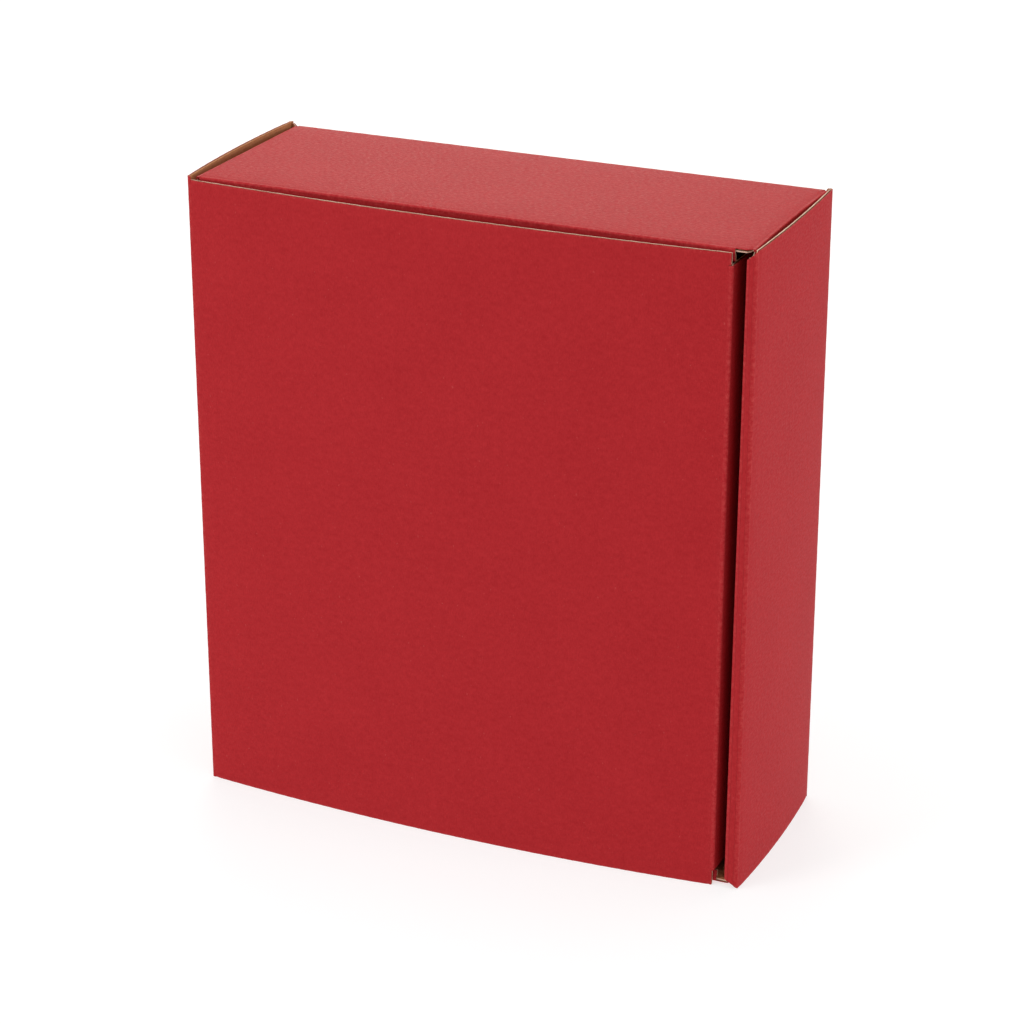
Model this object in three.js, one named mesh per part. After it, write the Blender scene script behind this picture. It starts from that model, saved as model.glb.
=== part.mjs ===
// A corrugated mailer box with a hinged tuck lid, standing on edge.
//
// The box is one die-cut sheet of thin corrugated board. Every panel of the sheet is a mesh,
// and so is every crease that joins two panels, because the creases are the hinges of the box.
//
// Axes: X runs from the rear wall to the front wall, Y from the lid to the base, and Z is up,
// along the hinge of the lid. The origin is the middle of the box on the surface it stands on.
// All lengths are millimetres.

import * as THREE from 'three';

// ---------------------------------------------------------------- driving dimensions

const height = 250;            // along the lid's hinge
const width = 224;             // rear wall to front wall, over the creases
const depth = 82.5;            // lid to base, over the creases
const board = 1.6;             // thickness of the corrugated board

const fitGap = 0.35;           // between boards that lie against each other
const rollGap = 0.1;           // between the boards pressed together in the rolled wall
const parting = 0.05;          // between a panel and a crease that doesn't move
const hingeGap = 0.2;          // between a panel and a crease that it turns on

const lidBow = 5;              // how far the lid bulges outward at mid-width
const rearBow = 2.5;           // the same for the rear wall
const frontBow = 1.5;          // and for the front wall
const bowSteps = 24;           // straight facets along a bowed panel

const sideInset = 0.4;         // side walls sit this far inside the cut edges of the lid
const earWidth = 0.6;          // width of the base's four corners where they are full height
const rearFlapClearance = 1.2; // between the rear wall and the flaps inside it
const tuckGap = 4.3;           // between the tuck flap and the front wall
const tuckLength = 25;         // from its crease to its free edge
const tuckInset = 6;           // from the lid's ends to the tuck flap's ends
const tuckCornerRadius = 12;
const stripTaper = 3.7;        // how much shorter the rolled wall is at its inner crease
const stripDrop = 0.5;         // the rolled edge lies this far below the lid

const dustLength = 45;         // from its crease to its free edge
const dustTaper = 40;          // how far the dust flap's free edge stops short of its hinge end
const dustRearInset = 2.6;     // from the side wall's rear end to the dust flap
const dustHookDepth = 3.9;     // the hook at the front end of a dust flap, along the flap
const dustHookReach = 0.9;     // how far the hook stands past the lid's edge
const dustTuckGap = 1;         // between the rest of the dust flap and the tuck flap
const dustCornerRadius = 8;

const cornerFlapLength = 60;   // of the flaps folded behind the front and rear walls
const cornerFlapTaper = 8;
const cornerFlapRadius = 6;

const lockTabLength = 24;      // of the two tabs that lock the rolled wall to the base
const lockTabSpacing = 110;
const lockTabRecess = 0.1;     // how far the tabs stop short of the base's outer face
const tabCornerRadius = 1;

// ---------------------------------------------------------------- derived places

const outerX = width / 2;
const outerY = depth / 2;
const innerX = outerX - board;
const innerY = outerY - board;
const sideOuter = height - sideInset;          // outer face of the upper side wall
const sideInner = sideOuter - board;
const bead = board / 2;                        // radius of a crease that turns

const lidHinge = { x: -outerX + bead, y: -outerY + bead };
const rollOuterX = innerX;                     // inner corner of the outer crease of the roll
const rollInnerX = innerX - rollGap - board - rollGap;
const rollY = -outerY + stripDrop + board;     // inner face of the rolled edge
const innerWallFace = rollInnerX - board;
const tuckOuterX = innerWallFace - tuckGap;
const tuckHinge = { x: tuckOuterX - bead, y: lidHinge.y };
const dustOuterY = -innerY + fitGap;           // face of the dust flaps under the lid
const dustHingeY = dustOuterY + bead;
const dustHingeZ = sideOuter - bead;
const frontFlapX = innerX - rollGap - board;   // inner face of the flaps in the front wall
const rearFlapX = -innerX + rearFlapClearance + board;

// ---------------------------------------------------------------- materials

const redBoard = new THREE.MeshStandardMaterial({ color: 0xb0343a, roughness: 0.72, metalness: 0 });
const kraftBoard = new THREE.MeshStandardMaterial({ color: 0xa87f5e, roughness: 0.85, metalness: 0 });

// ---------------------------------------------------------------- shape helpers

// A closed outline through corners [u, v] or [u, v, radius], each rounded by its radius.
function outline(corners) {
  const shape = new THREE.Shape();
  corners.forEach((corner, i) => {
    const here = new THREE.Vector2(corner[0], corner[1]);
    const before = corners[(i + corners.length - 1) % corners.length];
    const after = corners[(i + 1) % corners.length];
    const radius = corner[2] ?? 0;
    const enter = new THREE.Vector2(before[0], before[1]).sub(here).setLength(radius).add(here);
    const leave = new THREE.Vector2(after[0], after[1]).sub(here).setLength(radius).add(here);
    if (i === 0) {
      shape.moveTo(enter.x, enter.y);
    } else {
      shape.lineTo(enter.x, enter.y);
    }
    if (radius > 0) {
      shape.quadraticCurveTo(here.x, here.y, leave.x, leave.y);
    }
  });
  shape.closePath();
  return shape;
}

function rectangle(u0, v0, u1, v1) {
  return outline([[u0, v0], [u1, v0], [u1, v1], [u0, v1]]);
}

// A quarter disc about (u, v) that fills the quadrant of the signs (su, sv).
function quarterRound(u, v, su, sv) {
  const start = Math.atan2(sv, su) - Math.PI / 4;
  const shape = new THREE.Shape();
  shape.moveTo(u, v);
  shape.absarc(u, v, board, start, start + Math.PI / 2, false);
  shape.closePath();
  return shape;
}

function disc(u, v, radius) {
  const shape = new THREE.Shape();
  shape.absarc(u, v, radius, 0, 2 * Math.PI, false);
  return shape;
}

// The bulge of a bowed panel at a fraction of its span: none at the creases, most in the middle.
function bulge(fraction, bow) {
  return bow * (1 - (2 * fraction - 1) ** 2);
}

// The closed section of a bowed board from start to end, bulging along the unit vector out.
// The line from start to end is the board's inner face at its creases.
function bowedSection(start, end, out, bow) {
  const inner = [];
  const outer = [];
  for (let i = 0; i <= bowSteps; i += 1) {
    const fraction = i / bowSteps;
    const base = start.clone().lerp(end, fraction);
    inner.push(base.clone().addScaledVector(out, bulge(fraction, bow)));
    outer.push(base.clone().addScaledVector(out, bulge(fraction, bow) + board));
  }
  return new THREE.Shape([...inner, ...outer.reverse()]);
}

// Three ways to place an extruded shape, by the axis that it is extruded along.
const orientations = {
  // shape in X and Y, extruded up Z
  z: { turn: new THREE.Quaternion(), offset: (from) => new THREE.Vector3(0, 0, from) },
  // shape in Y and Z, extruded along X
  x: {
    turn: new THREE.Quaternion().setFromAxisAngle(new THREE.Vector3(1, 1, 1).normalize(), 2 * Math.PI / 3),
    offset: (from) => new THREE.Vector3(from, 0, 0),
  },
  // shape in X and Z, extruded along Y
  y: {
    turn: new THREE.Quaternion().setFromAxisAngle(new THREE.Vector3(1, 0, 0), Math.PI / 2),
    offset: (from, to) => new THREE.Vector3(0, to, 0),
  },
};

function extruded(name, shape, axis, from, to, material = redBoard) {
  const geometry = new THREE.ExtrudeGeometry(shape, {
    depth: to - from,
    bevelEnabled: false,
    curveSegments: 8,
  });
  const mesh = new THREE.Mesh(geometry, material);
  mesh.name = name;
  mesh.quaternion.copy(orientations[axis].turn);
  mesh.position.copy(orientations[axis].offset(from, to));
  return mesh;
}

// ---------------------------------------------------------------- base and rear wall

function basePanel() {
  const edge = innerX - parting;
  const rear = rearFlapX - parting;
  const front = frontFlapX + parting;
  const top = sideInner - parting;
  const shape = outline([
    [-edge, 0], [earWidth - edge, 0], [rear, height - top],
    [front, height - top], [edge - earWidth, 0], [edge, 0],
    [edge, height], [edge - earWidth, height], [front, top],
    [rear, top], [earWidth - edge, height], [-edge, height],
  ]);
  for (const side of [-1, 1]) {
    const middle = height / 2 + side * lockTabSpacing / 2;
    const slot = rectangle(
      rollInnerX + fitGap, middle - lockTabLength / 2 - fitGap,
      innerWallFace - fitGap, middle + lockTabLength / 2 + fitGap,
    );
    shape.holes.push(slot);
  }
  return extruded('base_panel', shape, 'y', innerY, outerY);
}

function rearWall() {
  const start = new THREE.Vector2(-innerX, -innerY + hingeGap);
  const end = new THREE.Vector2(-innerX, innerY - parting);
  const section = bowedSection(start, end, new THREE.Vector2(-1, 0), rearBow);
  return extruded('rear_wall', section, 'z', 0, height);
}

// ---------------------------------------------------------------- lid and tuck flap

function lidPanel() {
  const start = new THREE.Vector2(-innerX + hingeGap, -innerY);
  const end = new THREE.Vector2(tuckHinge.x - bead - hingeGap, -innerY);
  const section = bowedSection(start, end, new THREE.Vector2(0, -1), lidBow);
  return extruded('lid_panel', section, 'z', 0, height);
}

function tuckFlap() {
  const creaseY = -innerY + hingeGap;
  const freeY = tuckHinge.y + tuckLength;
  const shape = outline([
    [creaseY, tuckInset],
    [freeY, tuckInset, tuckCornerRadius],
    [freeY, height - tuckInset, tuckCornerRadius],
    [creaseY, height - tuckInset],
  ]);
  return extruded('tuck_flap', shape, 'x', tuckOuterX - board, tuckOuterX);
}

// ---------------------------------------------------------------- rolled front wall

function frontWallOuter() {
  const start = new THREE.Vector2(innerX, rollY + parting);
  const end = new THREE.Vector2(innerX, innerY - parting);
  const section = bowedSection(start, end, new THREE.Vector2(1, 0), frontBow);
  return extruded('front_wall_outer', section, 'z', 0, height);
}

function frontWallStrip() {
  const from = rollInnerX + parting;
  const to = rollOuterX - parting;
  const shape = outline([[from, stripTaper], [to, 0], [to, height], [from, height - stripTaper]]);
  return extruded('front_wall_strip', shape, 'y', rollY - board, rollY);
}

// The inner leaf of the roll, whose two tabs pass through slots in the base.
function frontWallInner() {
  const foot = innerY - fitGap;
  const tabEnd = outerY - lockTabRecess;
  const points = [[rollY + parting, stripTaper], [foot, stripTaper]];
  for (const side of [-1, 1]) {
    const middle = height / 2 + side * lockTabSpacing / 2;
    const low = middle - lockTabLength / 2;
    const high = middle + lockTabLength / 2;
    points.push([foot, low], [tabEnd, low, tabCornerRadius]);
    points.push([tabEnd, high, tabCornerRadius], [foot, high]);
  }
  points.push([foot, height - stripTaper], [rollY + parting, height - stripTaper]);
  return extruded('front_wall_inner', outline(points), 'x', innerWallFace, rollInnerX);
}

// ---------------------------------------------------------------- side walls and their flaps

const dustRearX = rearFlapX + dustRearInset;
const dustHookX = tuckOuterX + dustHookReach;
const dustFrontX = tuckOuterX - board - dustTuckGap;

// Each side wall, its dust flap and its corner flaps are drawn for the upper end of the box.
// The lower end is their mirror image, by heights measured from the other end.
function ends() {
  return [
    { label: 'top', place: (z) => z, upward: 1 },
    { label: 'bottom', place: (z) => height - z, upward: -1 },
  ];
}

// The rear and front ends of a side wall, with the fold direction of the flap on each.
function flapSides() {
  return [
    { label: 'rear', creaseX: rearFlapX, outward: -1 },
    { label: 'front', creaseX: frontFlapX, outward: 1 },
  ];
}

function sideWall(end) {
  const rearX = rearFlapX + parting;
  const frontX = frontFlapX - parting;
  const backY = innerY - parting;
  const creaseY = dustOuterY + board + hingeGap;
  const shape = outline([
    [rearX, dustHingeY], [dustRearX - parting, dustHingeY], [dustRearX - parting, creaseY],
    [dustHookX + parting, creaseY], [dustHookX + parting, dustHingeY], [frontX, dustHingeY],
    [frontX, backY], [rearX, backY],
  ]);
  const faces = [end.place(sideInner), end.place(sideOuter)];
  return extruded(`side_wall_${end.label}`, shape, 'z', Math.min(...faces), Math.max(...faces));
}

function dustFlap(end) {
  const creaseZ = sideInner - hingeGap;
  const hookZ = dustHingeZ - dustHookDepth;
  const freeZ = dustHingeZ - dustLength;
  const shape = outline([
    [dustRearX, end.place(creaseZ)],
    [dustRearX + dustTaper, end.place(freeZ), dustCornerRadius],
    [dustFrontX, end.place(freeZ), dustCornerRadius],
    [dustFrontX, end.place(hookZ)],
    [dustHookX, end.place(hookZ)],
    [dustHookX, end.place(creaseZ)],
  ]);
  return extruded(`dust_flap_${end.label}`, shape, 'y', dustOuterY, dustOuterY + board);
}

function cornerFlap(end, corner) {
  const creaseZ = sideInner - parting;
  const freeZ = sideInner - cornerFlapLength;
  const nearY = rollY + fitGap;
  const farY = innerY - fitGap;
  const shape = outline([
    [nearY, end.place(creaseZ)],
    [nearY + cornerFlapTaper, end.place(freeZ), cornerFlapRadius],
    [farY - cornerFlapTaper, end.place(freeZ), cornerFlapRadius],
    [farY, end.place(creaseZ)],
  ]);
  const faces = [corner.creaseX, corner.creaseX + corner.outward * board];
  const name = `corner_flap_${corner.label}_${end.label}`;
  return extruded(name, shape, 'x', Math.min(...faces), Math.max(...faces), kraftBoard);
}

// ---------------------------------------------------------------- creases

function creasesThatStay() {
  const rollOuter = quarterRound(rollOuterX, rollY, 1, -1);
  const rollInner = quarterRound(rollInnerX, rollY, -1, -1);
  const list = [
    extruded('crease_base_rear', quarterRound(-innerX, innerY, -1, 1), 'z', 0, height),
    extruded('crease_base_front', quarterRound(innerX, innerY, 1, 1), 'z', 0, height),
    extruded('crease_roll_outer', rollOuter, 'z', 0, height),
    extruded('crease_roll_inner', rollInner, 'z', stripTaper, height - stripTaper),
  ];
  for (const end of ends()) {
    const edge = end.place(sideInner);
    const fold = quarterRound(innerY, edge, 1, end.upward);
    list.push(extruded(`crease_base_${end.label}`, fold, 'x', rearFlapX, frontFlapX));
    for (const corner of flapSides()) {
      const bend = quarterRound(corner.creaseX, edge, corner.outward, end.upward);
      const name = `crease_corner_${corner.label}_${end.label}`;
      list.push(extruded(name, bend, 'y', rollY + fitGap, innerY - fitGap));
    }
  }
  return list;
}

function creasesThatTurn() {
  const lidLine = disc(lidHinge.x, lidHinge.y, bead);
  const tuckLine = disc(tuckHinge.x, tuckHinge.y, bead);
  const list = [
    extruded('crease_lid_hinge', lidLine, 'z', 0, height),
    extruded('crease_tuck_hinge', tuckLine, 'z', tuckInset, height - tuckInset),
  ];
  for (const end of ends()) {
    const line = disc(dustHingeY, end.place(dustHingeZ), bead);
    list.push(extruded(`crease_dust_${end.label}`, line, 'x', dustRearX, dustHookX));
  }
  return list;
}

// ---------------------------------------------------------------- assembly

const box = new THREE.Group();
box.position.set((rearBow - frontBow) / 2, lidBow / 2, 0);
box.add(basePanel(), rearWall(), lidPanel(), tuckFlap());
box.add(frontWallOuter(), frontWallStrip(), frontWallInner());
for (const end of ends()) {
  box.add(sideWall(end), dustFlap(end));
  for (const corner of flapSides()) {
    box.add(cornerFlap(end, corner));
  }
}
box.add(...creasesThatStay(), ...creasesThatTurn());

const mailer = new THREE.Group();
mailer.add(box);

export default mailer;
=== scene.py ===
import math

import bpy
import numpy as np
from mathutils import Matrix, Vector


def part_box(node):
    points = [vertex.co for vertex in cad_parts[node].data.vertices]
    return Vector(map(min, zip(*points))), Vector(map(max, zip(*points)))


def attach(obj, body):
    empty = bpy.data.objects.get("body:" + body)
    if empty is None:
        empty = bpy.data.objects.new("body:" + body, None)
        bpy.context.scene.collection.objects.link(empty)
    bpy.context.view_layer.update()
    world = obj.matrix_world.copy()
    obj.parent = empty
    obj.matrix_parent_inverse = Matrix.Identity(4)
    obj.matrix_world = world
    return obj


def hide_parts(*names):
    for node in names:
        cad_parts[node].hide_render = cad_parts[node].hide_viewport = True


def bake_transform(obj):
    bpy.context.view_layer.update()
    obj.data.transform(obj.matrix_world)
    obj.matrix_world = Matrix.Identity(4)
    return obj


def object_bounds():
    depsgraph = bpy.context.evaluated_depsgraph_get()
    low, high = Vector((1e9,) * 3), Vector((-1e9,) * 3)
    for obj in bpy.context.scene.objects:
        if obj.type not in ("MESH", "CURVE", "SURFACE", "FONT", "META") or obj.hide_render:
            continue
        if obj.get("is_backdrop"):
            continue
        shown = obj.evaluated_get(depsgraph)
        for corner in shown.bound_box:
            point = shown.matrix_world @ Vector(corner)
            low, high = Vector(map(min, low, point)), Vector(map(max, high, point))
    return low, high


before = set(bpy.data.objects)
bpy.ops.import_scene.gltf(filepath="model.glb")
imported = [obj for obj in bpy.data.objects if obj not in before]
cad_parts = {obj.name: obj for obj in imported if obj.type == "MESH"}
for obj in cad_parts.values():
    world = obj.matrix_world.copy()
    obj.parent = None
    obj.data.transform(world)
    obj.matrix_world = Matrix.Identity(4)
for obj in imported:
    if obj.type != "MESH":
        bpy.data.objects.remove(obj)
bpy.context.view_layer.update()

# The box is folded from one sheet of corrugated board. Each panel is made as the board is: a red
# outer liner, a fluted medium and a brown kraft inner liner, all of them closed sheets of paper.
# Each crease is a skin of outer liner bent round the fold, over a bead of crushed paper.
# Lengths are metres.

MM = 0.001
X, Y, Z = np.eye(3)
FLIP = X + Y - Z


# ---------------------------------------------------------------- places, from the CAD frame

def node_box(name):
    low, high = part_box(name)
    return np.array(low), np.array(high)


base_low, base_high = node_box("base_panel")
lid_low, lid_high = node_box("lid_panel")
rear_low, rear_high = node_box("rear_wall")
outer_low, outer_high = node_box("front_wall_outer")
strip_low, strip_high = node_box("front_wall_strip")
inner_low, inner_high = node_box("front_wall_inner")
side_low, side_high = node_box("side_wall_top")
tuck_low, tuck_high = node_box("tuck_flap")
dust_low, dust_high = node_box("dust_flap_top")
front_flap_low, front_flap_high = node_box("corner_flap_front_top")
rear_flap_low, rear_flap_high = node_box("corner_flap_rear_top")

height = lid_high[2]
board = base_high[1] - base_low[1]
half = board / 2

# The middle planes of the boards. Where two of them cross is the line of the crease between them.
lid_y = lid_high[1] - half
base_y = base_low[1] + half
rear_x = rear_high[0] - half
outer_x = outer_low[0] + half
strip_y = strip_low[1] + half
inner_x = inner_low[0] + half
side_z = side_low[2] + half
tuck_x = tuck_low[0] + half
dust_y = dust_low[1] + half
front_flap_x = front_flap_low[0] + half
rear_flap_x = rear_flap_low[0] + half


# ---------------------------------------------------------------- the board

liner = 0.26 * MM                 # thickness of each liner
medium = 0.16 * MM                # thickness of the fluted paper
flute_pitch = 3.4 * MM
wash = 0.01 * MM                  # how far a liner dips between two flutes
edge_crush = 0.2                  # share of the thickness that a cut edge has lost
crush_reach = 0.9 * MM
rim_swell = 0.8                   # share by which the blade has swollen the inner liner's rim
ragged = 0.05 * MM                # unevenness of a cut edge
fold_sink = 0.22 * MM             # how far a crease presses the red side in
fold_reach = 1.6 * MM             # how fast the board recovers its thickness away from the crease
groove_reach = 1.3 * MM           # how far a crease's groove reaches into the inner face
groove_floor = 0.1 * MM           # how near the groove comes to the middle of the board
liner_stop = 0.3 * MM             # the inner liner ends this far from the line of the crease
medium_stop = 0.6 * MM

edge_stations = np.array([0, 0.3, 0.7, 1.1, 1.6]) * MM    # of the mesh, from an edge inwards
row_spacing = 14 * MM             # of the mesh between them, along the flutes
least_step = 0.03 * MM            # two stations closer than this become one

front_rise_left = 0.2 * MM        # how far this box's upper end wall is out of true at its corners
front_rise_right = 0.4 * MM
rear_sink_left = 0.7 * MM
settle_start = height - 6 * MM
settle_reach = 5 * MM
fold_pull = 0.6 * MM              # how far its fold beside the rolled wall is drawn in
fold_pull_reach = 4 * MM
roll_pinch = 0.4 * MM             # how much narrower the rolled front wall is at its upper end
roll_spread = 0.9 * MM            # how much wider it is at its lower end
lid_skew = 0.7 * MM               # how far the lid's free edge leans at its upper end

CUT, JOIN = "cut", "join"         # edges of a patch, see there
RED, KRAFT, EDGE, FLUTE = range(4)      # material slots


def smooth(t):
    t = np.clip(t, 0.0, 1.0)
    return t * t * (3 - 2 * t)


def bulge(position, start, end):
    """An arch from 0 at start through 1 halfway to 0 at end."""
    share = np.clip((position - start) / (end - start), 0.0, 1.0)
    return 1 - (2 * share - 1) ** 2


def unevenness(position, phase):
    """A wandering line between -1 and 1 along a cut edge or a crease."""
    waves = ((5.3 * MM, 0.5), (2.1 * MM, 0.3), (13.7 * MM, 0.2))
    turns = [position * math.tau / length + phase * (1 + share) for length, share in waves]
    return sum(share * np.sin(turn) for turn, (length, share) in zip(turns, waves))


def flat(u, v):
    return np.zeros(np.broadcast(u, v).shape)


class Piece:
    """Closed slabs of paper, gathered into one mesh."""

    def __init__(self, name, warp=None):
        self.name, self.warp = name, warp
        self.points, self.uv, self.wear_and_highlight = [], [], []
        self.faces, self.slots = [], []
        self.count = 0

    def slab(self, top, bottom, uv, wear_and_highlight, outward, slots):
        """A closed sheet between two grids. slots are the materials of its top, bottom and rim."""
        index = self.count + np.arange(top.shape[0] * top.shape[1]).reshape(top.shape[:2])
        under = index + index.size
        self.count += 2 * index.size
        for grid in (top, bottom):
            self.points.append(grid.reshape(-1, 3))
            self.uv.append(uv.reshape(-1, 2))
            self.wear_and_highlight.append(wear_and_highlight.ravel())
        flip = np.cross(top[1, 0] - top[0, 0], top[0, 1] - top[0, 0]) @ outward < 0
        self.sheet(index, slots[0], flip)
        self.sheet(under, slots[1], not flip)
        self.strip(index[:, 0], under[:, 0], slots[2], flip)
        self.strip(index[:, -1], under[:, -1], slots[2], not flip)
        self.strip(index[0], under[0], slots[2], not flip)
        self.strip(index[-1], under[-1], slots[2], flip)

    def quads(self, corners, slot, reverse):
        order = corners[::-1] if reverse else corners
        self.faces += np.stack([c.ravel() for c in order], 1).tolist()
        self.slots += [slot] * corners[0].size

    def sheet(self, grid, slot, reverse):
        self.quads([grid[:-1, :-1], grid[1:, :-1], grid[1:, 1:], grid[:-1, 1:]], slot, reverse)

    def strip(self, upper, lower, slot, reverse):
        self.quads([upper[:-1], lower[:-1], lower[1:], upper[1:]], slot, reverse)

    def build(self, materials):
        points = np.concatenate(self.points)
        if self.warp:
            points = self.warp(points)
        mesh = bpy.data.meshes.new(self.name)
        mesh.from_pydata(points.tolist(), [], self.faces)
        for material in materials:
            mesh.materials.append(material)
        mesh.polygons.foreach_set("material_index", self.slots)
        corners = np.zeros(len(mesh.loops), int)
        mesh.loops.foreach_get("vertex_index", corners)
        layer = mesh.uv_layers.new(name="board")
        layer.data.foreach_set("uv", np.concatenate(self.uv)[corners].astype(np.float32).ravel())
        wear_and_highlight = mesh.attributes.new("wear_and_highlight", "FLOAT", "POINT")
        wear_and_highlight.data.foreach_set("value", np.concatenate(self.wear_and_highlight).astype(np.float32))
        mesh.set_sharp_from_angle(angle=math.radians(40))
        mesh.update()
        piece = bpy.data.objects.new(self.name, mesh)
        bpy.context.scene.collection.objects.link(piece)
        return piece


# ---------------------------------------------------------------- outlines

def rounded(corners, steps=6):
    """A closed outline through corners (u, v) or (u, v, radius), as an array of points."""
    points = []
    for i, corner in enumerate(corners):
        here = np.array(corner[:2])
        radius = corner[2] if len(corner) > 2 else 0
        if not radius:
            points.append(here)
            continue
        before = np.array(corners[i - 1][:2]) - here
        after = np.array(corners[(i + 1) % len(corners)][:2]) - here
        enter = here + before / np.linalg.norm(before) * radius
        leave = here + after / np.linalg.norm(after) * radius
        for t in np.linspace(0, 1, steps + 1):
            points.append((1 - t) ** 2 * enter + 2 * t * (1 - t) * here + t ** 2 * leave)
    return np.array(points)


def extent(outline, us):
    """The lowest and highest v at each u of a closed outline, which has no gap between the two."""
    ahead = np.roll(outline, -1, axis=0)
    nudge = 1e-7
    low, high = np.full(us.shape, np.inf), np.full(us.shape, -np.inf)
    inside = np.clip(us, outline[:, 0].min() + nudge, outline[:, 0].max() - nudge)
    for (u0, v0), (u1, v1) in zip(outline, ahead):
        if abs(u1 - u0) < nudge:
            continue
        crossing = (inside >= min(u0, u1) - nudge) & (inside <= max(u0, u1) + nudge)
        v = v0 + (v1 - v0) * (inside - u0) / (u1 - u0)
        low = np.where(crossing, np.minimum(low, v), low)
        high = np.where(crossing, np.maximum(high, v), high)
    return low, high


def box_outline(u0, v0, u1, v1):
    return np.array([(u0, v0), (u1, v0), (u1, v1), (u0, v1)])


# ---------------------------------------------------------------- panels

class Face:
    """The plane of a panel: u crosses the flutes, v follows them, and normal is the red side.

    middle is how far its middle plane lies along the normal's axis, bow(u, v) is how far the panel
    bulges outwards, and rim is the material of the inner liner's cut edges.
    """

    def __init__(self, u_axis, v_axis, normal, middle, bow=flat, mirrored=False, rim=EDGE):
        self.u_axis, self.v_axis, self.normal = u_axis, v_axis, normal
        self.middle, self.bow, self.mirrored = middle, bow, mirrored
        self.rim = rim

    def place(self, u, v, n):
        n = n + self.bow(u, v) + self.middle * np.sign(self.normal.sum())
        points = u[..., None] * self.u_axis + v[..., None] * self.v_axis
        points = points + n[..., None] * self.normal
        return mirror(points) if self.mirrored else points

    def outward(self):
        return self.normal * FLIP if self.mirrored else self.normal


def settle(points):
    """This box's upper end wall stands proud at the front and sinks at its rear left corner."""
    share = smooth((points[..., 2] - settle_start) / settle_reach)
    right = (points[..., 0] - side_low[0]) / (side_high[0] - side_low[0])
    back = (points[..., 1] - side_low[1]) / (side_high[1] - side_low[1])
    front_rise = front_rise_left + (front_rise_right - front_rise_left) * right
    rise = front_rise * (1 - back) - rear_sink_left * (1 - right) * back
    near_fold = smooth((points[..., 0] - side_high[0]) / fold_pull_reach + 1)
    near_fold = near_fold * smooth((points[..., 2] - settle_start) / fold_pull_reach)
    pull = fold_pull * bulge(back, 0, 1) * near_fold
    return points + (share * rise)[..., None] * Z - pull[..., None] * X


def taper_roll(points):
    """The rolled front wall closes up towards its upper end and spreads at its lower end."""
    depth = np.clip((outer_x - points[..., 0]) / (outer_x - inner_x), 0, 1)
    front = np.clip((base_y - points[..., 1]) / (base_y - strip_y), 0, 1)
    up = points[..., 2] / height
    inwards = roll_pinch * up - roll_spread * (1 - up)
    return points + (depth * front * inwards)[..., None] * X


def skew_lid(points):
    """The lid's free edge leans towards the rolled front wall at its upper end."""
    share = smooth(points[..., 0] / tuck_x) * points[..., 2] / height
    return points + (lid_skew * share)[..., None] * X


def mirror(points):
    """The same place at the other end of the box."""
    return points * FLIP + height * Z


def columns(u0, u1, step, breaks):
    """Stations along u, close together near both ends, with one at each of the breaks."""
    inner = np.arange(math.ceil(u0 / step) * step, u1, step)
    ends = np.concatenate([u0 + edge_stations, u1 - edge_stations])
    every = np.sort(np.concatenate([[u0, u1], inner, ends, breaks]))
    every = every[(every >= u0) & (every <= u1)]
    keep = np.concatenate([[True], np.diff(every) > least_step])
    every = every[keep]
    every[-1] = u1
    return every


def rows(low, high):
    """Stations along v for every column, close together near both ends."""
    length = (high - low)[:, None]
    share = np.minimum(1, length / (3 * edge_stations[-1]))
    start = low[:, None] + edge_stations * share
    end = high[:, None] - edge_stations[::-1] * share
    inner = max(2, math.ceil(length.max() / row_spacing))
    t = np.linspace(0, 1, inner + 1)[1:-1]
    middle = start[:, -1:] + (end[:, :1] - start[:, -1:]) * t
    return np.concatenate([start, middle, end], axis=1)


def layer_end(edge, end, inwards, stop):
    """Where a layer ends: at a fold, the inner layers go on to within stop of the crease."""
    if edge in (CUT, JOIN) or stop is None:
        return end
    return edge + inwards * stop


def layer_grid(outline, edges, stop, step, phase):
    """The stations (u, v) of one layer, and the ends of the board along v at each u."""
    first = layer_end(edges[0], outline[:, 0].min(), 1, stop)
    last = layer_end(edges[1], outline[:, 0].max(), -1, stop)
    us = columns(first, last, step, outline[:, 0])
    cut_low, cut_high = extent(outline, us)
    low = layer_end(edges[2], cut_low, 1, stop) + 0 * us
    high = layer_end(edges[3], cut_high, -1, stop) + 0 * us
    if edges[2] == CUT:
        low = low + ragged * (1 + unevenness(us, phase))
    if edges[3] == CUT:
        high = high - ragged * (1 + unevenness(us, phase + 2))
    v = rows(low, high)
    return np.broadcast_to(us[:, None], v.shape), v, cut_low[:, None], cut_high[:, None]


def shaped_faces(edges, distances, u, v):
    """The outer and inner faces of the board, the inner liner's swelling, and the paler scuffing and
    painted highlight.

    distances are those from each of the four edges. A cut edge is crushed, its rim swollen and its
    paper scuffed paler. A fold is sunk on the outer face and grooved on the inner one, and paler
    along it: scuffed paper and a painted highlight of the light on the rounded crease.
    """
    crush = np.ones(v.shape)
    swell, groove, sink, wear_and_highlight = np.zeros((4, *v.shape))
    for edge, distance, along in zip(edges, distances, (u, u, v, v)):
        if edge == CUT:
            near = np.exp(-(distance / crush_reach) ** 2)
            crush = crush * (1 - edge_crush * near)
            swell = np.maximum(swell, rim_swell * near)
            wear_and_highlight = np.maximum(wear_and_highlight, np.exp(-distance / (0.5 * MM)))
        elif edge != JOIN:
            fold_distance = np.abs(along - edge)
            groove = np.maximum(groove, 1 - smooth((fold_distance - liner_stop) / groove_reach))
            sink = np.maximum(sink, fold_sink * np.exp(-np.maximum(distance, 0) / fold_reach))
            # Paler along a fold: partly scuffed, stretched paper, partly a painted highlight of the
            # light on the rounded crease.
            wear_and_highlight = np.maximum(wear_and_highlight, 0.5 * np.exp(-fold_distance / (1.2 * MM)))
    wave = np.cos(u * math.tau / flute_pitch)
    dip = wash * (1 - groove)
    outer_face = half * crush - dip * (1 - wave) / 2 - sink
    inner_face = -(half * crush - dip * (1 + wave) / 2) * (1 - groove) - groove_floor * groove
    return outer_face, inner_face, swell * (1 - groove), wear_and_highlight


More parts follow.
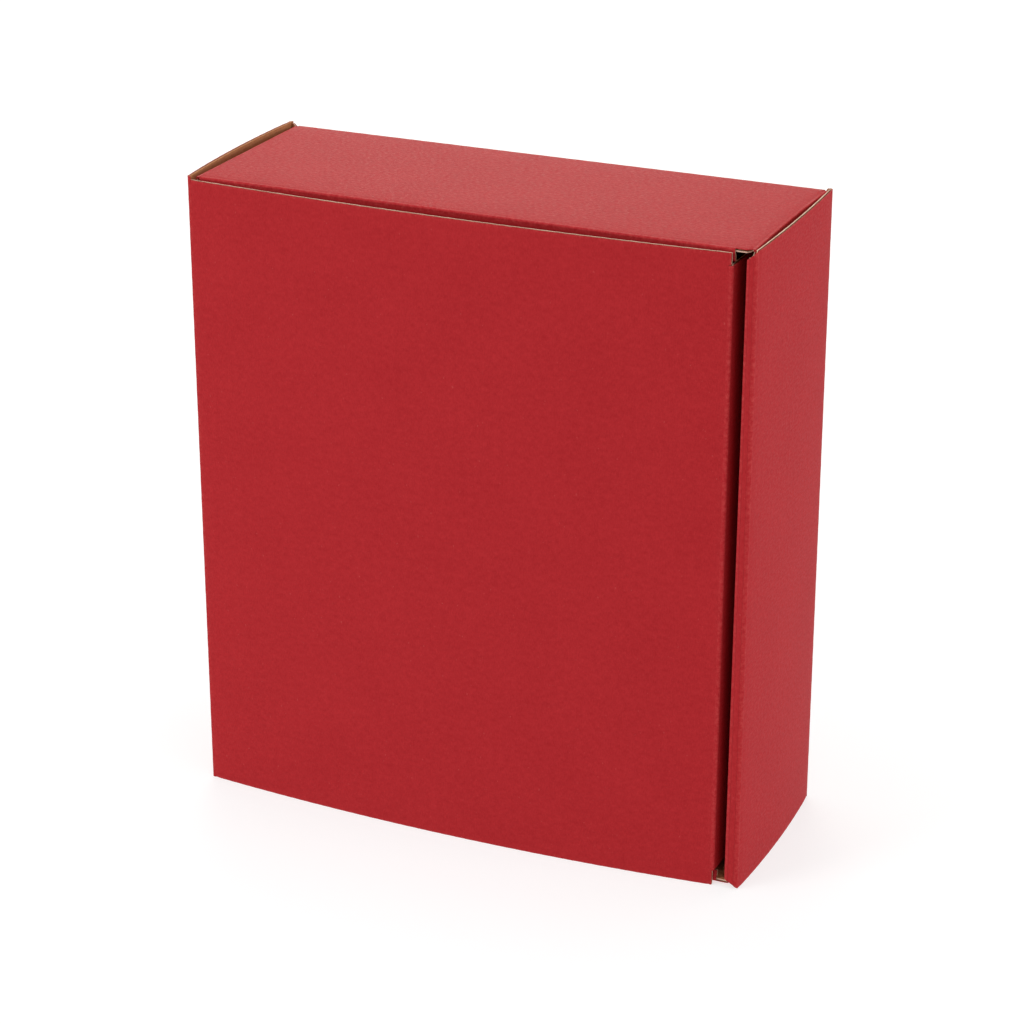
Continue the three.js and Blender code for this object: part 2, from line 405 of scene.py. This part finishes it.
def patch(piece, face, outline, edges):
    """Adds one stretch of board, in three layers.

    edges says what it has at low u, high u, low v and high v: a CUT edge, a JOIN with another
    patch, or a fold, by the place of its crease.
    """
    phase = len(piece.faces) * 0.37 + face.middle * 900         # so that no two edges are alike
    u0, u1 = outline[:, 0].min(), outline[:, 0].max()
    stops = {"outer": None, "medium": medium_stop, "inner": liner_stop}
    for layer, stop in stops.items():
        step = flute_pitch / (12 if layer == "medium" else 4)
        u, v, cut_low, cut_high = layer_grid(outline, edges, stop, step, phase)
        distances = [u - u0, u1 - u, v - cut_low, cut_high - v]
        outer_face, inner_face, swell, wear_and_highlight = shaped_faces(edges, distances, u, v)
        gap_top, gap_bottom = outer_face - liner, inner_face + liner * (1 + swell)
        if layer == "outer":
            top, bottom, slots = outer_face, gap_top, (RED, FLUTE, RED)
        elif layer == "inner":
            top, bottom, slots = gap_bottom, inner_face, (FLUTE, KRAFT, face.rim)
        else:
            swing = (gap_top - gap_bottom - medium) / 2 * np.cos(u * math.tau / flute_pitch)
            wave = (gap_top + gap_bottom) / 2 + swing
            top, bottom, slots = wave + medium / 2, wave - medium / 2, (FLUTE, FLUTE, FLUTE)
        top, bottom = face.place(u, v, top), face.place(u, v, bottom)
        uv = np.stack([u + 0.31 * face.middle, v], -1)
        piece.slab(top, bottom, uv, wear_and_highlight, face.outward(), slots)


def panel(node, body, face, *patches, warp=None):
    """Makes a panel's board from patches, each an outline and its four edges, as patch() has them."""
    piece = Piece(node + "_board", warp)
    for outline, edges in patches:
        patch(piece, face, outline, edges)
    made = piece.build(BOARD)
    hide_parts(node)
    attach(made, body)


# ---------------------------------------------------------------- creases

skin_face = half - fold_sink      # of a crease's outer liner, from the middle of the board
skin_dent = 0.04 * MM
skin_spacing = 1.7 * MM           # of the mesh, along the crease
bend_steps = 9                    # of the mesh, round the fold
bead_radius = 0.36 * MM           # of the crushed paper inside a crease
bead_lumps = 0.12                 # share by which that radius varies


def fold_section(a, b, reach, radius):
    """Points across the outside of a fold, from its pivot, and the normal at each of them."""
    turn = np.linspace(0, math.pi / 2, bend_steps)
    normals = [math.cos(t) * a + math.sin(t) * b for t in turn]
    centre = (skin_face - radius) * (a + b)
    bend = [centre + radius * normal for normal in normals]
    points = [skin_face * a - reach * b, *bend, skin_face * b - reach * a]
    return np.array(points), np.array([a, *normals, b])


def crease_skin(piece, pivot, section, normals, along, w, radius, mirrored):
    """Adds the outer liner over a fold. w gives the stations along it for each point across it."""
    free = np.sin(np.linspace(0, math.pi, len(section)))        # 0 where the skin meets a panel
    phase = radius * 9000
    dent = skin_dent * unevenness(w * 0.7, phase) * free[:, None]
    top = pivot + section[:, None] + w[..., None] * along + dent[..., None] * normals[:, None]
    bottom = top - liner * normals[:, None]
    steps = np.linalg.norm(np.diff(section, axis=0), axis=1)
    across = np.concatenate([[0], np.cumsum(steps)])[:, None] + 0 * w
    crosses_flutes = along @ X > 0
    uv = np.stack([w, across] if crosses_flutes else [across, w], -1)
    # Paler over the fold, palest halfway round it: partly scuffed paper, partly a painted highlight
    # of the light on the rounded crease.
    wear_and_highlight = np.broadcast_to((0.5 + 0.4 * free)[:, None], w.shape)
    outward = normals[0]
    if mirrored:
        top, bottom, outward = mirror(top), mirror(bottom), outward * FLIP
    piece.slab(top, bottom, uv, wear_and_highlight, outward, (RED, KRAFT, RED))


def crease_bead(piece, pivot, a, b, along, w, radius, mirrored, filling):
    """Adds the crushed paper inside a fold: a thick tube with a slit, which lies against the skin."""
    ring = np.linspace(-0.9, 0.9, 13) * math.pi
    inward = -(a + b) / math.sqrt(2)
    sideways = (a - b) / math.sqrt(2)
    spokes = np.cos(ring)[:, None] * inward + np.sin(ring)[:, None] * sideways
    thickest = (1 + bead_lumps) * bead_radius
    under_skin = radius - (radius - skin_face) * math.sqrt(2) - liner
    middle = pivot + (thickest - under_skin) * inward
    swell = bead_radius * (1 + bead_lumps * unevenness(w, 4.0))
    shell = middle + spokes[:, None] * swell[None, :, None] + w[None, :, None] * along
    core = middle + spokes[:, None] * bead_radius / 3 + w[None, :, None] * along
    uv = np.stack(np.broadcast_arrays(ring[:, None] * 0.4 * MM, w[None, :]), -1)
    outward = spokes[0]
    if mirrored:
        shell, core, outward = mirror(shell), mirror(core), outward * FLIP
    piece.slab(shell, core, uv, np.zeros(uv.shape[:2]), outward, (filling, filling, filling))


def crease(
    node, bodies, pivot, a, b, along, span, reach, radius, trim=None, mirrored=False, warp=None,
    filling=KRAFT, recess=0.5 * MM,
):
    """The outer liner bent from the panel that faces a to the panel that faces b, about pivot.

    reach is how far each panel's outer liner stops short of the pivot, and radius is that of the
    outside of the fold. trim gives how much shorter the skin is at a point of its section. filling
    is the material of the crushed paper, which ends recess short of the skin's ends.
    """
    section, normals = fold_section(a, b, reach, radius)
    shorter = np.zeros(len(section)) if trim is None else trim(section + pivot)
    length = span[1] - span[0]
    count = max(3, math.ceil(length / skin_spacing))

    skin = Piece(node + "_skin", warp)
    share = np.linspace(0, 1, count)
    w = (span[0] + shorter)[:, None] + (length - 2 * shorter)[:, None] * share
    crease_skin(skin, pivot, section, normals, along, w, radius, mirrored)
    skin = skin.build(BOARD)

    bead = Piece(node + "_bead", warp)
    inset = shorter.max() + recess
    w = np.linspace(span[0] + inset, span[1] - inset, count)
    crease_bead(bead, pivot, a, b, along, w, radius, mirrored, filling)
    bead = bead.build(BOARD)
    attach(bead, bodies[0])

    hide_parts(node)
    if bodies[0] == bodies[1]:
        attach(skin, bodies[0])
        return
    start = pivot + half * a - reach * b
    end = pivot + half * b - reach * a
    if mirrored:
        start, end = mirror(start), mirror(end)
    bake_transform(skin)


# ---------------------------------------------------------------- materials

def rgb(red, green, blue):
    """An sRGB colour from 0 to 255, as linear RGBA."""
    shares = np.array([red, green, blue]) / 255
    linear = np.where(shares < 0.04045, shares / 12.92, ((shares + 0.055) / 1.055) ** 2.4)
    return (*linear.tolist(), 1.0)


class Nodes:
    """A short way to write a material's nodes."""

    def __init__(self, name):
        self.material = bpy.data.materials.new(name)
        self.material.use_nodes = True
        self.tree = self.material.node_tree
        self.shader = self.tree.nodes["Principled BSDF"]

    def add(self, kind, inputs=(), **settings):
        node = self.tree.nodes.new(kind)
        for key, value in settings.items():
            setattr(node, key, value)
        for key, value in dict(inputs).items():
            if hasattr(value, "is_linked"):
                self.tree.links.new(value, node.inputs[key])
            else:
                node.inputs[key].default_value = value
        return node

    def math(self, operation, first, second=0.0, clamp=False):
        inputs = {0: first, 1: second}
        node = self.add("ShaderNodeMath", inputs, operation=operation, use_clamp=clamp)
        return node.outputs[0]

    def mix(self, factor, first, second):
        node = self.add("ShaderNodeMix", {0: factor, 6: first, 7: second}, data_type="RGBA")
        return node.outputs[2]

    def noise(self, vector, size, detail=2.0, roughness=0.5):
        """Noise of about that size in metres, from 0 to 1."""
        inputs = {"Vector": vector, "Scale": 1 / size, "Detail": detail, "Roughness": roughness}
        return self.add("ShaderNodeTexNoise", inputs).outputs["Fac"]

    def stretch(self, value, low, high):
        inputs = {"Value": value, "From Min": low, "From Max": high}
        return self.add("ShaderNodeMapRange", inputs).outputs["Result"]

    def scaled(self, vector, across, along):
        inputs = {"Vector": vector, "Scale": (across, along, 1.0)}
        return self.add("ShaderNodeMapping", inputs).outputs["Vector"]


def paper(name, light, dark, fleck, worn_and_highlight, roughness, gloss, grain, flutes):
    """Paper liner: mottled, with long fibres, a few pale flecks, and paler where it is scuffed; along
    folds that paleness is also a painted highlight.
    """
    n = Nodes(name)
    board_uv = n.add("ShaderNodeUVMap", uv_map="board").outputs["UV"]
    wear_and_highlight = n.add("ShaderNodeAttribute", attribute_name="wear_and_highlight").outputs["Fac"]

    cloud = n.noise(board_uv, 26 * MM, 3.0)
    mottle = n.noise(board_uv, 2.6 * MM, 3.0, 0.6)
    fibre = n.noise(n.scaled(board_uv, 1.0, 0.35), 0.5 * MM, 2.0, 0.6)
    shade = n.math("ADD", n.math("MULTIPLY", cloud, 0.3), n.math("MULTIPLY", mottle, 0.7))
    shade = n.math("ADD", n.math("MULTIPLY", shade, 0.5), n.math("MULTIPLY", fibre, 0.5))
    colour = n.mix(n.stretch(shade, 0.36, 0.64), dark, light)

    flecks = n.noise(n.scaled(board_uv, 1.0, 0.6), 0.9 * MM, 1.0)
    sparse = n.noise(board_uv, 5 * MM, 1.0)
    flecks = n.math("MULTIPLY", n.stretch(flecks, 0.69, 0.76), n.stretch(sparse, 0.5, 0.62))
    colour = n.mix(n.math("MULTIPLY", flecks, 0.2), colour, fleck)

    # Paler at cut edges from scuffing, and along folds from scuffing and a painted highlight.
    rub_and_highlight = n.math("MULTIPLY", wear_and_highlight, n.stretch(n.noise(board_uv, 1.6 * MM, 3.0, 0.7), 0.42, 0.72))
    colour = n.mix(n.math("MULTIPLY", rub_and_highlight, 0.6), colour, worn_and_highlight)

    n.tree.links.new(colour, n.shader.inputs["Base Color"])
    burnish = n.noise(n.scaled(board_uv, 0.6, 1.0), 0.9 * MM, 3.0, 0.6)
    dull = n.math("MULTIPLY", n.stretch(burnish, 0.3, 0.7), 0.24)
    n.tree.links.new(n.math("ADD", dull, roughness - 0.12), n.shader.inputs["Roughness"])
    n.shader.inputs["Specular IOR Level"].default_value = gloss

    parts = n.add("ShaderNodeSeparateXYZ", {"Vector": board_uv}).outputs
    drift = n.math("MULTIPLY", n.noise(board_uv, 30 * MM), 0.5 * MM)
    turns = n.math("MULTIPLY", n.math("ADD", parts["X"], drift), math.tau / flute_pitch)
    ridge = n.math("MULTIPLY", n.math("SINE", turns), flutes)
    grit = n.noise(board_uv, 0.35 * MM, 3.0, 0.65)
    relief = n.math("ADD", ridge, n.math("MULTIPLY", grit, grain))
    relief = n.math("ADD", relief, n.math("MULTIPLY", burnish, 8 * grain))
    waviness = n.noise(board_uv, 6 * MM, 2.0)
    relief = n.math("ADD", relief, n.math("MULTIPLY", waviness, 0.05 * MM))
    bump = n.add("ShaderNodeBump", {"Height": relief, "Distance": 1.0, "Strength": 1.0})
    n.tree.links.new(bump.outputs["Normal"], n.shader.inputs["Normal"])
    return n.material


def cut_paper(name, light, dark):
    """The pulp that shows on a cut edge, and the fluted paper behind it."""
    n = Nodes(name)
    board_uv = n.add("ShaderNodeUVMap", uv_map="board").outputs["UV"]
    fibre = n.noise(board_uv, 0.4 * MM, 3.0, 0.7)
    patchy = n.noise(board_uv, 7 * MM, 2.0)
    shade = n.math("ADD", n.math("MULTIPLY", fibre, 0.6), n.math("MULTIPLY", patchy, 0.4))
    colour = n.mix(n.stretch(shade, 0.38, 0.62), dark, light)
    n.tree.links.new(colour, n.shader.inputs["Base Color"])
    rough = n.add("ShaderNodeMapRange", {"Value": fibre, "To Min": 0.82, "To Max": 0.95})
    n.tree.links.new(rough.outputs["Result"], n.shader.inputs["Roughness"])
    n.shader.inputs["Specular IOR Level"].default_value = 0.1
    bump = n.add("ShaderNodeBump", {"Height": fibre, "Distance": 0.05 * MM})
    n.tree.links.new(bump.outputs["Normal"], n.shader.inputs["Normal"])
    return n.material


# The pale colour of scuffed paper also serves as a painted highlight along folds.
red = paper(
    "red_liner", light=rgb(183, 42, 47), dark=rgb(167, 32, 38), fleck=rgb(214, 112, 108),
    worn_and_highlight=rgb(206, 82, 80), roughness=0.6, gloss=0.07, grain=0.02 * MM, flutes=0.002 * MM,
)
kraft = paper(
    "kraft_liner", light=rgb(206, 143, 98), dark=rgb(186, 123, 82), fleck=rgb(118, 78, 50),
    worn_and_highlight=rgb(214, 162, 120), roughness=0.8, gloss=0.1, grain=0.03 * MM, flutes=0.01 * MM,
)
edge = cut_paper("liner_edge", light=rgb(242, 208, 186), dark=rgb(206, 162, 140))
flute = cut_paper("fluted_medium", light=rgb(158, 112, 80), dark=rgb(128, 86, 60))
BOARD = (red, kraft, edge, flute)


# ---------------------------------------------------------------- how the panels bulge

lid_bow_top = 3.8 * MM
lid_bow_bottom = 5.6 * MM
rear_bow = rear_high[0] - rear_low[0] - board
front_bow = outer_high[0] - outer_low[0] - board
upper_share = 0.6                 # how much of an end wall's bow is left at its upper end


def lid_bow(x, z):
    most = lid_bow_bottom + (lid_bow_top - lid_bow_bottom) * z / height
    return most * bulge(x, lid_low[0], lid_high[0])


def rear_wall_bow(y, z):
    return rear_bow * bulge(y, rear_low[1], rear_high[1]) * (1 + (upper_share - 1) * z / height)


def front_wall_bow(y, z):
    return front_bow * bulge(y, outer_low[1], outer_high[1]) * (1 + (upper_share - 1) * z / height)


# ---------------------------------------------------------------- lid and tuck flap

shoulder = tuck_low[2] - 0.2 * MM       # height of the lid's plain corners beside the tuck flap
shoulder_x = tuck_high[0] - MM
lid_top = height - 1.4 * MM             # the lid is cut a little short of the walls' upper ends
lid_face = Face(X, Z, -Y, lid_y, lid_bow)
panel(
    "lid_panel", "lid", lid_face,
    (box_outline(lid_low[0], 0, lid_high[0], lid_top), (rear_x, tuck_x, CUT, CUT)),
    (box_outline(lid_high[0], 0, shoulder_x, shoulder), (JOIN, CUT, CUT, CUT)),
    (box_outline(lid_high[0], height - shoulder, shoulder_x, lid_top), (JOIN, CUT, CUT, CUT)),
    warp=skew_lid,
)

tuck_corner = 12 * MM
tuck_outline = rounded([
    (tuck_low[1], tuck_low[2]), (tuck_high[1], tuck_low[2], tuck_corner),
    (tuck_high[1], tuck_high[2], tuck_corner), (tuck_low[1], tuck_high[2]),
])
tuck_patch = (tuck_outline, (lid_y, CUT, CUT, CUT))
panel("tuck_flap", "tuck", Face(Y, Z, X, tuck_x), tuck_patch, warp=skew_lid)


# ---------------------------------------------------------------- base and rear wall

# The rear wall's cut edges take the darker kraft finish instead of the pale cut pulp: painted shade,
# for the shadow on its upper edge.
panel(
    "rear_wall", "tray", Face(Y, Z, -X, rear_x, rear_wall_bow, rim=KRAFT),
    (box_outline(rear_low[1], 0, rear_high[1], height), (lid_y, base_y, CUT, CUT)),
)

tab_length = 24 * MM
tab_spacing = 110 * MM
slot_play = 0.3 * MM
slot_low, slot_high = inner_low[0] - slot_play, inner_high[0] + slot_play
tabs = [height / 2 + side * tab_spacing / 2 for side in (-1, 1)]     # the middles of the lock tabs

base_stop = side_low[2] - 0.05 * MM     # the base's outer liner ends here, at a side wall's crease
ear_width = 0.6 * MM


def ear_outline(start, end):
    """The base beside a crease, whose corners rise to the ends of the box."""
    flat_end = end - math.copysign(ear_width, end)
    upper = [(start, base_stop), (flat_end, height), (end, height)]
    lower = [(u, height - v) for u, v in reversed(upper)]
    return np.array(upper + lower)


def base_patches():
    """The base is whole on both sides of the slots, and bridged below, between and above them."""
    folds = (height - side_z, side_z)
    low, high = height - base_stop, base_stop
    yield box_outline(side_low[0], low, slot_low, high), (JOIN, JOIN, *folds)
    yield box_outline(slot_high, low, side_high[0], high), (JOIN, JOIN, *folds)
    yield ear_outline(side_low[0], base_low[0]), (rear_x, JOIN, CUT, CUT)
    yield ear_outline(side_high[0], base_high[0]), (JOIN, outer_x, CUT, CUT)
    slot_half = tab_length / 2 + slot_play
    slot_ends = [tab + side * slot_half for tab in tabs for side in (-1, 1)]
    stops = [low, *slot_ends, high]
    edges = [folds[0], CUT, CUT, CUT, CUT, folds[1]]
    for i in (0, 2, 4):
        bridge = box_outline(slot_low, stops[i], slot_high, stops[i + 1])
        yield bridge, (JOIN, JOIN, edges[i], edges[i + 1])


panel("base_panel", "tray", Face(X, Z, Y, base_y), *base_patches(), warp=settle)


# ---------------------------------------------------------------- rolled front wall

roll_width = outer_high[0] - front_bow - inner_low[0]
roll_taper = inner_low[2]


def roll_trim(x):
    """How far the rolled edge stops short of the wall's ends: more and more towards the inside."""
    return roll_taper * np.clip((outer_x + half - x) / roll_width, 0, 1)


panel(
    "front_wall_outer", "tray", Face(Y, Z, X, outer_x, front_wall_bow),
    (box_outline(outer_low[1], 0, outer_high[1], height), (strip_y, base_y, CUT, CUT)),
)
strip_ends = [(x, roll_trim(x)) for x in (strip_low[0], strip_high[0])]
strip_outline = np.array(strip_ends + [(x, height - trim) for x, trim in reversed(strip_ends)])
panel(
    "front_wall_strip", "tray", Face(X, Z, -Y, strip_y),
    (strip_outline, (inner_x, outer_x, CUT, CUT)), warp=taper_roll,
)

foot = base_low[1] - 0.35 * MM          # the inner leaf ends here, and its tabs go on
inner_outline = box_outline(inner_low[1], inner_low[2], foot, inner_high[2])
inner_patches = [(inner_outline, (strip_y, CUT, CUT, CUT))]
for tab in tabs:
    tab_outline = rounded([
        (foot, tab - tab_length / 2), (inner_high[1], tab - tab_length / 2, MM),
        (inner_high[1], tab + tab_length / 2, MM), (foot, tab + tab_length / 2),
    ])
    inner_patches.append((tab_outline, (JOIN, CUT, CUT, CUT)))
panel("front_wall_inner", "tray", Face(Y, Z, -X, inner_x), *inner_patches, warp=taper_roll)


# ---------------------------------------------------------------- side walls and their flaps

flap_taper, flap_corner = 8 * MM, 6 * MM
dust_corner = 8 * MM
dust_start = side_low[0] + 0.1 * MM     # the ends of the flap's crease
dust_end = dust_high[0] - 0.7 * MM
dust_tip = dust_low[0] + 40 * MM        # where the slanting edge meets the flap's free edge
dust_main = tuck_low[0] - MM            # the flap's long edge, clear of the tuck flap
hook_z = side_z - 3.9 * MM              # above this height the flap is as wide as its crease
dust_lean = 0.6 * MM                    # how far the flap stands back from the lid
lean_reach = 3 * MM
chamfer = 1.5 * MM                      # on the end wall's corner beside the rolled wall


def dust_bow(x, z):
    return flat(x, z) - dust_lean * smooth((side_z - MM - z) / lean_reach)


for end, mirrored, dust_body in (("top", False, "upper_dust"), ("bottom", True, "lower_dust")):
    warp = None if mirrored else settle
    side_face = Face(X, Y, Z, side_z, mirrored=mirrored)
    rear_outline = box_outline(side_low[0], dust_y, dust_start, side_high[1])
    middle_outline = box_outline(dust_start, dust_y + MM, dust_end, side_high[1])
    front_outline = np.array([
        (dust_end, dust_y), (side_high[0] - chamfer, dust_y), (side_high[0], dust_y + chamfer),
        (side_high[0], side_high[1]), (dust_end, side_high[1]),
    ])
    panel(
        f"side_wall_{end}", "tray", side_face,
        (rear_outline, (rear_flap_x, JOIN, CUT, base_y)),
        (middle_outline, (JOIN, JOIN, dust_y, base_y)),
        (front_outline, (JOIN, front_flap_x, CUT, base_y)),
        warp=warp,
    )
    dust_outline = rounded([
        (dust_start, dust_high[2]), (dust_tip, dust_low[2], dust_corner),
        (dust_main, dust_low[2], dust_corner), (dust_main, hook_z),
        (dust_end, hook_z), (dust_end, dust_high[2]),
    ])
    dust_face = Face(X, Z, -Y, dust_y, dust_bow, mirrored=mirrored)
    dust_patch = (dust_outline, (CUT, CUT, CUT, side_z))
    panel(f"dust_flap_{end}", dust_body, dust_face, dust_patch, warp=warp)
    for place, flap_x, low, high, outward, start in (
        ("rear", rear_flap_x, rear_flap_low, rear_flap_high, -X, 0),
        ("front", front_flap_x, front_flap_low, front_flap_high, X, chamfer),
    ):
        flap_outline = rounded([
            (low[2], low[1] + flap_taper, flap_corner), (high[2], low[1] + start),
            (high[2], high[1]), (low[2], high[1] - flap_taper, flap_corner),
        ])
        flap_face = Face(Z, Y, outward, flap_x, mirrored=mirrored)
        flap_patch = (flap_outline, (CUT, side_z, CUT, CUT))
        panel(f"corner_flap_{place}_{end}", "tray", flap_face, flap_patch, warp=warp)
        crease(
            f"crease_corner_{place}_{end}", ("tray", "tray"), flap_x * X + side_z * Z, Z, outward,
            Y, (low[1] + start, high[1]), reach=half, radius=0.5 * MM, mirrored=mirrored, warp=warp,
            filling=RED, recess=0.1 * MM,
        )
    crease(
        f"crease_dust_{end}", ("tray", dust_body), dust_y * Y + side_z * Z, Z, -Y, X,
        (dust_start, dust_end), reach=MM, radius=0.8 * MM, mirrored=mirrored, warp=warp,
    )
    crease(
        f"crease_base_{end}", ("tray", "tray"), base_y * Y + side_z * Z, Y, Z, X,
        (side_low[0], side_high[0]), reach=half, radius=0.8 * MM, mirrored=mirrored, warp=warp,
    )


# ---------------------------------------------------------------- upright creases

crease(
    "crease_lid_hinge", ("tray", "lid"), rear_x * X + lid_y * Y, -X, -Y, Z,
    (0, height), reach=MM, radius=1.1 * MM,
)
crease(
    "crease_tuck_hinge", ("lid", "tuck"), tuck_x * X + lid_y * Y, -Y, X, Z,
    (tuck_low[2], tuck_high[2]), reach=MM, radius=1.0 * MM, warp=skew_lid,
)
crease(
    "crease_base_rear", ("tray", "tray"), rear_x * X + base_y * Y, -X, Y, Z,
    (0, height), reach=half, radius=1.3 * MM,
)
crease(
    "crease_base_front", ("tray", "tray"), outer_x * X + base_y * Y, X, Y, Z,
    (0, height), reach=half, radius=1.2 * MM,
)
for name, place, a, b in (("outer", outer_x, X, -Y), ("inner", inner_x, -Y, -X)):
    crease(
        f"crease_roll_{name}", ("tray", "tray"), place * X + strip_y * Y, a, b, Z,
        (0, height), reach=half, radius=1.1 * MM,
        trim=lambda points: roll_trim(points[:, 0]), warp=taper_roll,
    )


# ---------------------------------------------------------------- stage, light and camera

def floor():
    """A pale floor just under the box, which gives off some light of its own."""
    bpy.ops.mesh.primitive_plane_add(size=12, location=(0, 0, -0.15 * MM))
    ground = bpy.context.object
    ground.name = "floor"
    n = Nodes("floor")
    shader = n.shader
    shader.inputs["Base Color"].default_value = (0.4, 0.4, 0.4, 1)
    shader.inputs["Roughness"].default_value = 0.9
    shader.inputs["Specular IOR Level"].default_value = 0
    shader.inputs["Emission Color"].default_value = (1, 1, 1, 1)
    shader.inputs["Emission Strength"].default_value = 0.68
    ground.data.materials.append(n.material)
    ground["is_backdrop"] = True


def softbox(name, place, size, watts, colour=(1, 1, 1)):
    """A square lamp that is turned to the middle of the box."""
    lamp = bpy.data.lights.new(name, "AREA")
    lamp.shape = "SQUARE"
    lamp.size = size
    lamp.energy = watts
    lamp.color = colour
    holder = bpy.data.objects.new(name, lamp)
    holder.location = place
    towards_box = Vector((0, 0, height / 2)) - holder.location
    holder.rotation_euler = towards_box.to_track_quat("-Z", "Y").to_euler()
    bpy.context.scene.collection.objects.link(holder)


floor()
world = bpy.data.worlds.new("studio")
world.use_nodes = True
world.node_tree.nodes["Background"].inputs["Color"].default_value = (1, 1, 1, 1)
world.node_tree.nodes["Background"].inputs["Strength"].default_value = 0.3
bpy.context.scene.world = world
bpy.context.scene.view_settings.view_transform = "Standard"

softbox("overhead", (0, 0, 1.6), 1.0, 11.2)
softbox("behind", (-0.6, 1.35, 0.75), 0.8, 8.2, (1, 0.96, 0.86))
softbox("key", (-1.1, -1.3, 0.9), 0.8, 12.0)
softbox("right", (1.2, 0.02, 0.31), 0.4, 3.9)

azimuth, elevation = math.radians(24), math.radians(23)
distance = 1.165
aim = Vector((0.0028, 0.001, 0.1195))
back = Vector((
    math.sin(azimuth) * math.cos(elevation),
    -math.cos(azimuth) * math.cos(elevation),
    math.sin(elevation),
))
lens = bpy.data.cameras.new("camera")
lens.lens = 106.9
lens.sensor_width = 36
camera = bpy.data.objects.new("camera", lens)
camera.location = aim + back * distance
camera.rotation_euler = (-back).to_track_quat("-Z", "Y").to_euler()
bpy.context.scene.collection.objects.link(camera)
bpy.context.scene.camera = camera

low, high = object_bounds()
